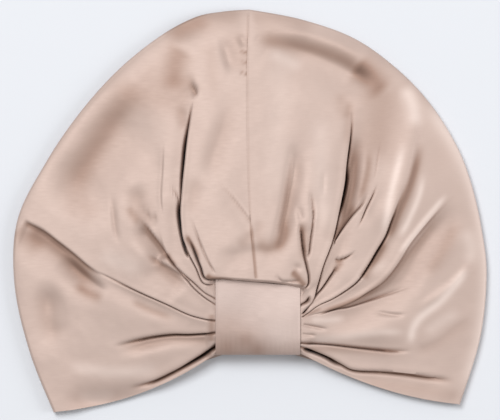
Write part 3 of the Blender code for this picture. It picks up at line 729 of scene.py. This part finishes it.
@dataclass
class BandShape:
    """The band's sizes, and the heights that the cloth beside it must meet, in millimetres."""

    left: float = -25.0
    right: float = 33.0
    top: float = -48.6
    top_tilt: float = -0.09
    bottom: float = -98.0
    height: float = 22.6
    underside: float = 7.6
    wall: float = 0.8
    sag_lengthwise: float = 1.8
    roll_reach: float = 15.0
    roll_skew: float = 4.0
    sag_across: float = 0.3
    edge_roll: float = 0.3
    edge_width: float = 0.9
    crest_share: float = 0.3
    pucker: float = 0.3
    pucker_pitch: float = 8.0
    pucker_reach: float = 13.0
    pucker_drift: float = 9.0
    pucker_sway: float = 0.25

    @property
    def middle(self) -> float:
        """X of the band's middle line."""
        return (self.left + self.right) / 2

    def across(self, x: np.ndarray) -> np.ndarray:
        """Place across the band, from -1 at its left edge to 1 at its right one."""
        return (x - self.middle) / (self.right - self.middle)

    def roll_length(self, x: np.ndarray) -> np.ndarray:
        """How far above its lower end the band starts to roll over."""
        return self.roll_reach - self.roll_skew * self.across(x)

    def upper_edge(self, x: float) -> float:
        """Y of the band's upper edge, which runs a little askew."""
        return self.top + self.top_tilt * (x - self.middle)

    def face(self, x: np.ndarray, y: np.ndarray) -> np.ndarray:
        """Work out the band's upper wall, which sags a little and rolls over at its lower end.

        Args:
            x: Places across the band.
            y: Places along it.

        Returns:
            The height of the middle of the wall at each place.
        """
        crest = self.top + self.crest_share * (self.bottom - self.top)
        across = self.across(x)
        lengthwise = (y - crest) / (self.bottom - crest)
        sag = self.sag_across * across ** 2 + self.sag_lengthwise * lengthwise ** 2
        from_side = (1 - np.abs(across)) * (self.right - self.middle)
        edge = self.edge_roll * np.exp(-(from_side / self.edge_width) ** 2)
        sway = np.sin(self.pucker_drift * x / (self.left - self.right))
        turns = x / self.pucker_pitch + self.pucker_sway * sway
        edge -= self.pucker * np.sin(2 * math.pi * turns) ** 2 * np.exp(
            -((y - self.bottom) / self.pucker_reach) ** 2)
        top = self.height - self.wall / 2 - sag + edge
        centre = (top + self.underside + self.wall / 2) / 2
        reach = self.roll_length(x)
        down = np.clip((self.bottom + self.wall / 2 + reach - y) / reach, 0.0, 1.0)
        return centre + (top - centre) * np.sqrt(1 - down ** 2)


@dataclass
class HalfBonnet:
    """One half of the bonnet, a sheet from the centre seam round to the hem.

    A column of the sheet runs from the gathers in the band out over the front, round the side
    fold and back underneath. Columns follow the spokes, which are numbered from the seam.
    """

    side: Side
    spokes: tuple[Spoke, ...]
    laps: tuple[Lap, ...]
    swells: tuple[Swell, ...]
    dents: tuple[Dent, ...]
    band: BandShape
    satin: Charmeuse
    crowded: tuple[Crowd, ...]
    crease: CreaseForm = CreaseForm()
    columns: int = 340
    neck_rows: int = 6
    front_rows: int = 118
    turn_rows: int = 8
    back_rows: int = 6
    wall: float = 0.4
    seam_gap: float = 0.04
    crown_turn: float = 2.6  # half the height of the side fold at the crown
    side_turn: float = 2.6  # the same at the side
    turn_reach: float = 1.5
    turn_spokes: float = 3.0
    back_level: float = 0.6
    back_ends: tuple[float, float] = (-52.0, -91.0)  # Y where the back layer stops
    shoulder_reach: float = 52.0  # how far the height beside the band carries out
    rim_slope: float = 65.0
    rim_roll: float = 5.0
    roll_share: float = 0.1  # share of the rise from the outline that is its tight roll
    fold_start: float = 8.0
    gather_reach: float = 55.0
    overhang_reach: float = 2.5
    least: float = 2.4  # lowest the front layer may come
    crowding: float = 0.11  # how much closer the rows lie at both ends
    under_band: float = 0.2  # gap between the band and the cloth that goes under it
    folds_at_band: float = 0.7  # share of their depth that the folds keep there
    neck_x: float = 3.0
    neck_ends: tuple[float, float] = (-61.0, -95.6)  # Y of the gathers inside the band
    neck_level: float = 13.5
    # Shade painted into the colour for each millimetre of a hollow, dent or crease trough.
    hollow_shade: float = 0.016  # light lost for each millimetre of a hollow

    @property
    def node(self) -> str:
        """Name of the CAD node that this half replaces."""
        return self.side.name.lower() + "_panel"

    def outline(self, places: np.ndarray) -> tuple[np.ndarray, np.ndarray]:
        """Find the outline's points and outward directions.

        Args:
            places: Spoke numbers.

        Returns:
            Points and unit vectors in plan, one row for each place.
        """
        last = len(self.spokes) - 1
        rims = along_table(self.spokes, places)[:, 4:6]
        low = along_table(self.spokes, np.maximum(places - PLACE_STEP, 0))[:, 4:6]
        high = along_table(self.spokes, np.minimum(places + PLACE_STEP, last))[:, 4:6]
        run = high - low
        outward = np.stack([-run[:, 1], run[:, 0]], axis=1) * self.side.value
        outward /= np.linalg.norm(outward, axis=1)[:, None]
        start = (1 - smooth_step(places))[:, None]
        outward = outward * (1 - start) + np.array((0.0, 1.0)) * start
        return rims, outward / np.linalg.norm(outward, axis=1)[:, None]

    def turn_heights(self, places: np.ndarray) -> np.ndarray:
        """Half the height of the rounded side fold at each spoke number."""
        return self.crown_turn + (self.side_turn - self.crown_turn) * smooth_step(
            places / self.turn_spokes)

    def column_places(self) -> np.ndarray:
        """Space the columns from the seam to the hem, closer where the creases crowd.

        Returns:
            The spoke number of each column.
        """
        fine = np.linspace(0, len(self.spokes) - 1, CROWD_STEPS)
        weight = np.ones(len(fine))
        for crowd in self.crowded:
            weight += crowd.share * np.exp(-((fine - crowd.place) / crowd.reach) ** 2)
        count = np.concatenate([[0.0], np.cumsum((weight[1:] + weight[:-1]) / 2)])
        return np.interp(np.linspace(0, count[-1], self.columns + 1), count, fine)

    def fold_shift(self, plan: np.ndarray, from_band: np.ndarray) -> np.ndarray:
        """Work out how the folds and dents move the front layer.

        Args:
            plan: Plan points, one a row.
            from_band: Each point's distance from the band.

        Returns:
            The move along X, Y and Z of each point, and its painted shading: 1 for the darkest
            painted shade in a crease, 0 for none and -1 for the strongest painted highlight.
        """
        shift = np.zeros((len(plan), 4))
        for lap in self.laps:
            self.add_lap(shift, plan, from_band, lap)
        for swell in self.swells:
            reach = SWELL_REACH * max(swell.width_left, swell.width_right)
            near = near_path(plan, swell.path, reach)
            along, left, _ = nearest_on_path(plan[near], swell.path)
            width = np.where(left > 0, swell.width_left, swell.width_right)
            hollow = fade_ends(along, swell.fade_in, swell.fade_out) * np.exp(-(left / width) ** 2)
            shift[near, 2] -= swell.depth * hollow
            # Painted shade down in the hollow, plus the row's own painted shade, or a painted
            # highlight where its shade is below zero.
            shift[near, 3] += (self.hollow_shade * max(swell.depth, 0.0) + swell.shade) * hollow
        for dent in self.dents:
            square = ((plan - np.array((dent.x, dent.y))) ** 2).sum(axis=1) / dent.reach ** 2
            shift[:, 2] -= dent.depth * np.exp(-square)
            # Painted shade down in the dent.
            shift[:, 3] += self.hollow_shade * dent.depth * np.exp(-square)
        np.clip(shift[:, 3], -1.0, 1.0, out=shift[:, 3])
        return shift

    def add_lap(self, shift: np.ndarray, plan: np.ndarray, from_band: np.ndarray,
                lap: Lap) -> None:
        """Add one lapped crease to the moves of the front layer.

        Args:
            shift: The moves so far, which this one is added to.
            plan: Plan points, one a row.
            from_band: Each point's distance from the band.
            lap: The crease.
        """
        form = self.crease
        facing = lap.over.value * self.side.value
        near = near_path(plan, lap.path, LAP_REACH * max(lap.width_out, lap.trough_width))
        along, left, normals = nearest_on_path(plan[near], lap.path)
        fade = fade_ends(along, lap.fade_in, lap.fade_out)
        width = lap.width_in + (lap.width_out - lap.width_in) * along
        under = facing * left / width - form.slot_offset
        slot = np.exp(-np.where(under > 0, under, form.upper_steepness * under) ** 2)
        down = np.clip(under * width / lap.trough_width, 0.0, None)
        trough = down * np.exp(1.0 - down - (down / form.trough_end) ** 4)
        crest = np.exp(-((under + form.crest_offset) / form.crest_width) ** 2)
        at_band = smooth_step(from_band[near] / form.band_reach)
        gathers = smooth_step(from_band[near] / self.gather_reach)
        trough *= lap.trough * (form.trough_at_band + (1 - form.trough_at_band) * gathers)
        opened = form.depth_at_band + (1 - form.depth_at_band) * at_band
        drop = (lap.depth * slot + trough) * opened
        shift[near, 2] += fade * (lap.lip * crest * at_band - drop)
        # Painted shade down in the crease's slot, plus painted shade in its trough.
        dark = np.minimum(form.dark_gain * slot ** form.dark_power, 1.0)
        painted_shading = fade * dark * min(lap.depth / PAINTED_SHADE_DEPTH, 1.0)
        shift[near, 3] = np.maximum(shift[near, 3], painted_shading) + fade * self.hollow_shade * trough
        lean_width = np.where(under > -form.lean_offset, form.lean_width_under,
                              form.lean_width_over)
        lean = lap.lean * np.exp(-((under + form.lean_offset) / lean_width) ** 2)
        shift[near, :2] += facing * normals * (fade * at_band * lean)[:, None]

    def front(self, places: np.ndarray) -> tuple[np.ndarray, np.ndarray]:
        """Shape the front layer.

        Args:
            places: Spoke numbers of the columns.

        Returns:
            Points of every column and row with their painted shading, and their plan before the
            folds.
        """
        even = np.linspace(0, 1, self.front_rows + 1)
        part = (even - self.crowding * np.sin(2 * math.pi * even))[None, :, None]
        values = along_table(self.spokes, places)
        rims, outward = self.outline(places)
        start = values[:, 0:2][:, None, :]
        middle = values[:, 2:4][:, None, :]
        end = (rims - outward * (self.turn_reach + self.wall / 2))[:, None, :]
        bend = 2 * middle - (start + end) / 2
        plan = start * (1 - part) ** 2 + bend * 2 * part * (1 - part) + end * part ** 2
        from_band = np.linalg.norm(plan - start, axis=2)
        from_rim = np.linalg.norm(plan - end, axis=2)
        shoulder, body, overhang, length = (values[:, column][:, None] for column in range(6, 10))
        nearness = np.exp(-(from_band / self.shoulder_reach) ** 2)
        height = body + (shoulder - body) * nearness
        flat_plan = plan.reshape(-1, 2)
        shift = self.fold_shift(flat_plan, from_band.reshape(-1)).reshape(*plan.shape[:2], 4)
        rise = smooth_step(from_band / length)
        edge = self.band.face(start[..., 0], start[..., 1]) - self.band.wall - self.under_band
        height = edge + (height - edge) * rise
        rim_level = self.back_level + 2 * self.turn_heights(places)[:, None]
        roll = 1 - np.exp(-from_rim / self.rim_roll)
        slope = 1 - np.exp(-from_rim / self.rim_slope)
        height = rim_level + (height - rim_level) * (self.roll_share * roll + slope)
        ease = 1 - np.exp(-from_rim / self.fold_start)
        kept = self.folds_at_band + (1 - self.folds_at_band) * rise
        height = np.maximum(height + shift[..., 2] * kept * ease, self.least)
        spoke_way = end - start
        spoke_way = spoke_way / np.linalg.norm(spoke_way, axis=2)[..., None]
        from_start = np.clip(from_band / (self.overhang_reach * length), 0, 1)
        lean_out = overhang * np.sin(math.pi * from_start)
        moved = plan + shift[..., :2] * ease[..., None] - spoke_way * lean_out[..., None]
        return np.concatenate([moved, height[..., None], shift[..., 3:]], axis=2), plan

    def sheet_points(self) -> tuple[np.ndarray, np.ndarray, np.ndarray]:
        """Work out all the points of the half.

        Returns:
            Points of every column and row in millimetres, their places on the flat cloth, and the
            painted shading of each.
        """
        places = self.column_places()
        front, plan = self.front(places)
        front, painted_shading = front[..., :3], front[..., 3]
        count = len(places)
        neck_x = np.full(count, self.neck_x)
        inner = np.stack([neck_x, np.linspace(*self.neck_ends, count),
                          np.full(count, self.neck_level)], axis=1)
        steps = (np.arange(self.neck_rows) / self.neck_rows)[None, :, None]
        neck = inner[:, None, :] * (1 - steps) + front[:, :1, :] * steps
        rims, outward = self.outline(places)
        angle = math.pi * (0.5 - np.arange(1, self.turn_rows + 1) / self.turn_rows)
        reach = self.turn_reach * (1 - np.cos(angle)) + self.wall / 2
        turn_plan = rims[:, None, :] - outward[:, None, :] * reach[None, :, None]
        turn_z = self.back_level + np.outer(self.turn_heights(places), 1 + np.sin(angle))
        turn = np.concatenate([turn_plan, turn_z[..., None]], axis=2)
        back_end = np.stack([neck_x, np.linspace(*self.back_ends, count),
                             np.full(count, self.back_level)], axis=1)
        steps = (np.arange(1, self.back_rows + 1) / self.back_rows)[None, :, None]
        back = turn[:, -1:, :] * (1 - steps) + back_end[:, None, :] * steps
        points = np.concatenate([neck, front, turn, back], axis=1)
        points[..., 0] += self.side.value * self.seam_gap / 2
        cloth = np.concatenate([neck[..., :2], plan, turn[..., :2], back[..., :2]], axis=1)
        # The side fold keeps the painted shading of the front layer's last row. The neck and the
        # back get none.
        turned = np.repeat(painted_shading[:, -1:], self.turn_rows, axis=1)
        painted_shadings = np.concatenate([np.zeros((count, self.neck_rows)), painted_shading, turned,
                                np.zeros((count, self.back_rows))], axis=1)
        return points, cloth, painted_shadings

    def build(self) -> bpy.types.Object:
        """Make the half's mesh with its wall, its place on the cloth and its painted shade and
        painted highlights.

        Returns:
            The new object.
        """
        points, cloth, painted_shadings = self.sheet_points()
        piece = sheet_mesh(self.side.name.lower() + "_half_satin", points, cloth,
                           flip=self.side is Side.LEFT)
        store_painted_shadings(piece, painted_shadings)
        thicken(piece, self.wall)
        return piece

    def dress(self, piece: bpy.types.Object) -> None:
        """Give the half its satin and tell the frame what it is.

        Args:
            piece: The half's object.
        """
        piece.data.materials.append(self.satin.make())
        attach(piece, "root")
        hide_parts(self.node)


def sheet_mesh(name: str, points: np.ndarray, cloth: np.ndarray, flip: bool) -> bpy.types.Object:
    """Make a sheet from a grid of points.

    Args:
        name: The object's name.
        points: Points in millimetres by column and row.
        cloth: The same points on the flat cloth, which become the UV map in metres.
        flip: Whether the faces are turned over, so that they look outwards.

    Returns:
        The new object, smooth and linked to the scene.
    """
    columns, rows = points.shape[:2]
    index = np.arange(columns * rows).reshape(columns, rows)
    quads = np.stack([index[:-1, :-1], index[:-1, 1:], index[1:, 1:], index[1:, :-1]], axis=-1)
    quads = quads.reshape(-1, 4)
    if flip:
        quads = quads[:, ::-1]
    mesh = bpy.data.meshes.new(name)
    mesh.from_pydata((points.reshape(-1, 3) * MM).tolist(), [], quads.tolist())
    layer = mesh.uv_layers.new(name="cloth")
    loops = np.zeros(len(mesh.loops), int)
    mesh.loops.foreach_get("vertex_index", loops)
    layer.data.foreach_set("uv", (cloth.reshape(-1, 2)[loops] * MM).ravel())
    mesh.shade_smooth()
    piece = bpy.data.objects.new(name, mesh)
    bpy.context.scene.collection.objects.link(piece)
    return piece


def store_painted_shadings(piece: bpy.types.Object, painted_shadings: np.ndarray) -> None:
    """Keep on a sheet its painted shade and painted highlights at each point: -1 is the strongest
    painted highlight and 1 the darkest painted shade.
    """
    layer = piece.data.attributes.new("painted_shading", "FLOAT", "POINT")
    layer.data.foreach_set("value", painted_shadings.ravel())


def deselect_all() -> None:
    """Leave nothing selected."""
    for item in bpy.context.selected_objects:
        item.select_set(False)


def select_only(piece: bpy.types.Object) -> None:
    """Make one piece active and the only one selected.

    Args:
        piece: The piece that the next operator acts on.
    """
    deselect_all()
    piece.select_set(True)
    bpy.context.view_layer.objects.active = piece


def thicken(piece: bpy.types.Object, wall: float) -> None:
    """Give a sheet its thickness inwards and apply it.

    Args:
        piece: The sheet, with its faces looking outwards.
        wall: The thickness in millimetres.
    """
    select_only(piece)
    solid = piece.modifiers.new("wall", "SOLIDIFY")
    solid.thickness = wall * MM
    solid.offset = -1.0
    solid.use_even_offset = False
    bpy.ops.object.modifier_apply(modifier=solid.name)
    bpy.ops.object.shade_smooth_by_angle(angle=SHARP_EDGE)


@dataclass
class CentreBand:
    """The plain band, a strap lapped round the lower edge of the gathers."""

    shape: BandShape
    satin: Charmeuse
    patches: tuple[Patch, ...]
    steps_across: int = 90
    steps_along: int = 150
    cloth_length: float = 110.0
    # Painted shade over the lower part of the band: how dark, where it starts down the band, how
    # much higher it starts at the left end, and over what share it grows.
    low_shade: float = 0.3
    shade_start: float = 0.3
    shade_skew: float = 0.225
    shade_length: float = 0.9

    def section(self, x: np.ndarray) -> np.ndarray:
        """Work out the band's lengthwise section, over the top, round the roll and back.

        Args:
            x: Places across the band.

        Returns:
            The points of the section in millimetres at each place.
        """
        shape = self.shape
        end, low = shape.bottom + shape.wall / 2, shape.underside + shape.wall / 2
        stretch = self.steps_along // 3
        half_turn = np.linspace(0, math.pi / 2, stretch + 1)[1:]
        columns = []
        for place in x:
            reach = shape.roll_length(place)
            middle = float(shape.face(place, end))
            face_y = np.linspace(shape.upper_edge(place), end + reach, stretch + 1)
            roll_y = end + reach * (1 - np.sin(half_turn))
            upper_y = np.concatenate([face_y, roll_y])
            upper = np.stack([upper_y, shape.face(place, upper_y)], axis=1)
            under_y = np.concatenate([roll_y[-2::-1], face_y[:1:-1]])
            level = middle - (middle - low) * np.concatenate(
                [np.cos(half_turn[-2::-1]), np.ones(len(face_y) - 2)])
            section = np.concatenate([upper, np.stack([under_y, level], axis=1)])
            columns.append(np.insert(section, 0, place, axis=1))
        return np.array(columns)

    def build(self) -> bpy.types.Object:
        """Make the band's mesh with its wall, its place on the cloth and its painted shade and
        painted highlights.

        Returns:
            The new object.
        """
        shape = self.shape
        x = np.linspace(shape.left, shape.right, self.steps_across + 1)
        points = self.section(x)
        run = np.linspace(0, self.cloth_length, points.shape[1])
        cloth = np.stack(np.broadcast_arrays(x[:, None], run[None, :]), axis=2)
        piece = sheet_mesh("band_satin", points, cloth, flip=True)
        # Painted shade over the lower part, then the patches' painted shade and painted highlights.
        down = (shape.top - points[..., 1]) / (shape.top - shape.bottom)
        start = self.shade_start + self.shade_skew * shape.across(x)[:, None]
        painted_shadings = self.low_shade * smooth_step((down - start) / self.shade_length)
        for patch in self.patches:
            square = ((points[..., :2] - (patch.x, patch.y)) ** 2).sum(axis=2) / patch.reach ** 2
            painted_shadings += patch.shade * np.exp(-square)
        store_painted_shadings(piece, painted_shadings)
        thicken(piece, shape.wall)
        return piece

    def dress(self, piece: bpy.types.Object) -> None:
        """Give the band its satin and tell the frame what it is.

        Args:
            piece: The band's object.
        """
        piece.data.materials.append(self.satin.make())
        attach(piece, "root")
        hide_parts("centre_band")


@dataclass
class SeamStitches:
    """The sewing thread that shows along the centre seam, a run of short lying stitches.

    It is spun polyester, which gives a dull, slightly twisted line a little darker than the
    satin. Lengths are in millimetres.
    """

    line: np.ndarray
    pitch: float = 2.6
    length: float = 1.7
    thickness: float = 0.5
    proud: float = 0.12
    twist: float = 0.9
    dark: str = "#7E6152"
    light: str = "#9A7D6E"

    def places(self) -> list[tuple[Vector, Vector]]:
        """Space the stitches evenly along the seam.

        Returns:
            Each stitch's middle and direction, in millimetres.
        """
        steps = np.linalg.norm(np.diff(self.line, axis=0), axis=1)
        run = np.concatenate([[0.0], np.cumsum(steps)])
        middles = np.arange(self.pitch, run[-1] - self.pitch, self.pitch)
        ends = [np.stack([np.interp(middles + side * self.length / 2, run, self.line[:, axis])
                          for axis in range(3)], axis=1) for side in (-1, 1)]
        return [(Vector((start + end) / 2), Vector(end - start)) for start, end in zip(*ends)]

    def build(self) -> bpy.types.Object:
        """Make the stitches as one mesh of small lying beads.

        Returns:
            The new object.
        """
        deselect_all()
        bpy.ops.mesh.primitive_uv_sphere_add(segments=8, ring_count=6, radius=1.0)
        bead = bpy.context.object
        mesh = bmesh.new()
        for middle, way in self.places():
            part = bead.data.copy()
            turn = way.to_track_quat("X", "Z").to_matrix().to_4x4()
            size = Matrix.Diagonal((self.length / 2, self.thickness / 2, self.thickness / 2, 1.0))
            lift = Matrix.Translation(middle + Vector((0.0, 0.0, self.proud)))
            part.transform(Matrix.Scale(MM, 4) @ lift @ turn @ size)
            mesh.from_mesh(part)
            bpy.data.meshes.remove(part)
        bpy.data.objects.remove(bead)
        data = bpy.data.meshes.new("seam_stitches")
        mesh.to_mesh(data)
        mesh.free()
        data.shade_smooth()
        piece = bpy.data.objects.new("seam_stitches", data)
        bpy.context.scene.collection.objects.link(piece)
        return piece

    def dress(self, piece: bpy.types.Object) -> None:
        """Give the stitches their thread and tell the frame what they ride on.

        Args:
            piece: The stitches' object.
        """
        maker = NodeMaker("polyester_sewing_thread")
        twist = maker.add("TexWave", {"bands_direction": "DIAGONAL"}, {
            "Vector": maker.add("TexCoord").outputs["Object"], "Scale": 1 / (self.twist * MM)})
        blend = maker.add("Mix", {"data_type": "RGBA"}, {
            0: twist.outputs["Fac"], 6: linear_colour(self.dark), 7: linear_colour(self.light)})
        maker.link(blend.outputs[2], "Base Color")
        maker.set({"Roughness": 0.6})
        piece.data.materials.append(maker.material)
        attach(piece, "root")


@dataclass
class Studio:
    """The floor, the lights and the camera. Lengths are in metres."""

    camera_at: tuple[float, float, float] = (-0.0014, 0.001, 2.5)
    view_width: float = 0.345
    sensor: float = 36.0
    view_end: float = 20.0
    floor_half: float = 1.5
    floor_level: float = -0.0004
    floor_colour: str = "#D3D7DD"
    air_colour: tuple[float, float, float, float] = (1.0, 0.95, 0.92, 1.0)
    air_strength: float = 0.46

    def floor(self) -> None:
        """Lay the plain floor of matte paper, which shows no gloss and takes soft shadows."""
        deselect_all()
        bpy.ops.mesh.primitive_plane_add(size=2 * self.floor_half,
                                         location=(0, 0, self.floor_level))
        plane = bpy.context.object
        plane.name = "studio_floor"
        maker = NodeMaker("matte_paper_floor")
        maker.set({"Base Color": linear_colour(self.floor_colour), "Roughness": 0.9})
        plane.data.materials.append(maker.material)

    def light(self, name: str, at: tuple[float, float, float], size: float,
              watts: float) -> None:
        """Hang a square softbox that faces the bonnet.

        Args:
            name: The light's name.
            at: Its place in metres.
            size: Its side in metres.
            watts: Its power.
        """
        data = bpy.data.lights.new(name, "AREA")
        data.shape = "SQUARE"
        data.size = size
        data.energy = watts
        lamp = bpy.data.objects.new(name, data)
        lamp.location = at
        lamp.rotation_euler = (-Vector(at)).to_track_quat("-Z", "Y").to_euler()
        bpy.context.scene.collection.objects.link(lamp)

    def build(self) -> None:
        """Set up the floor, the light and the camera."""
        scene = bpy.context.scene
        self.floor()
        world = bpy.data.worlds.new("studio_air")
        world.use_nodes = True
        air = world.node_tree.nodes["Background"].inputs
        air["Color"].default_value = self.air_colour
        air["Strength"].default_value = self.air_strength
        scene.world = world
        self.light("key_softbox", at=(-0.95, 1.2, 2.7), size=1.5, watts=77.0)
        self.light("side_softbox", at=(2.0, -0.1, 1.1), size=1.2, watts=20.0)
        camera_data = bpy.data.cameras.new("camera")
        camera_data.sensor_width = self.sensor
        camera_data.lens = self.sensor * self.camera_at[2] / self.view_width
        camera_data.clip_end = self.view_end
        camera = bpy.data.objects.new("camera", camera_data)
        camera.location = self.camera_at
        scene.collection.objects.link(camera)
        scene.camera = camera
        scene.view_settings.view_transform = "Standard"


def main() -> None:
    """Build the bonnet's pieces in order and report each."""
    logging.basicConfig(level=logging.INFO, format="%(message)s")
    deselect_all()
    satin = Charmeuse("charmeuse_satin", "#C6B3AA", "#C1ADA4")
    band_satin = Charmeuse("band_charmeuse_satin", "#CCBBB4", "#C6B4AD", relief=0.09)
    band = BandShape()
    Studio().build()
    left = HalfBonnet(Side.LEFT, LEFT_SPOKES, LEFT_LAPS, LEFT_SWELLS, LEFT_DENTS, band, satin,
                      (Crowd(2.0, 0.3, 2.5), Crowd(7.0, 1.2, 0.6)))
    right = HalfBonnet(Side.RIGHT, RIGHT_SPOKES, RIGHT_LAPS, RIGHT_SWELLS, RIGHT_DENTS, band,
                       satin, (Crowd(2.0, 0.35, 2.0), Crowd(4.5, 1.2, 0.8)), side_turn=2.8)
    seam_line = left.front(np.zeros(1))[0][0]
    for part in (left, right, SeamStitches(seam_line), CentreBand(band, band_satin, BAND_PATCHES)):
        piece = part.build()
        part.dress(piece)
        LOG.info("%s: %d faces", piece.name, len(piece.data.polygons))


if __name__ == "__main__":
    main()
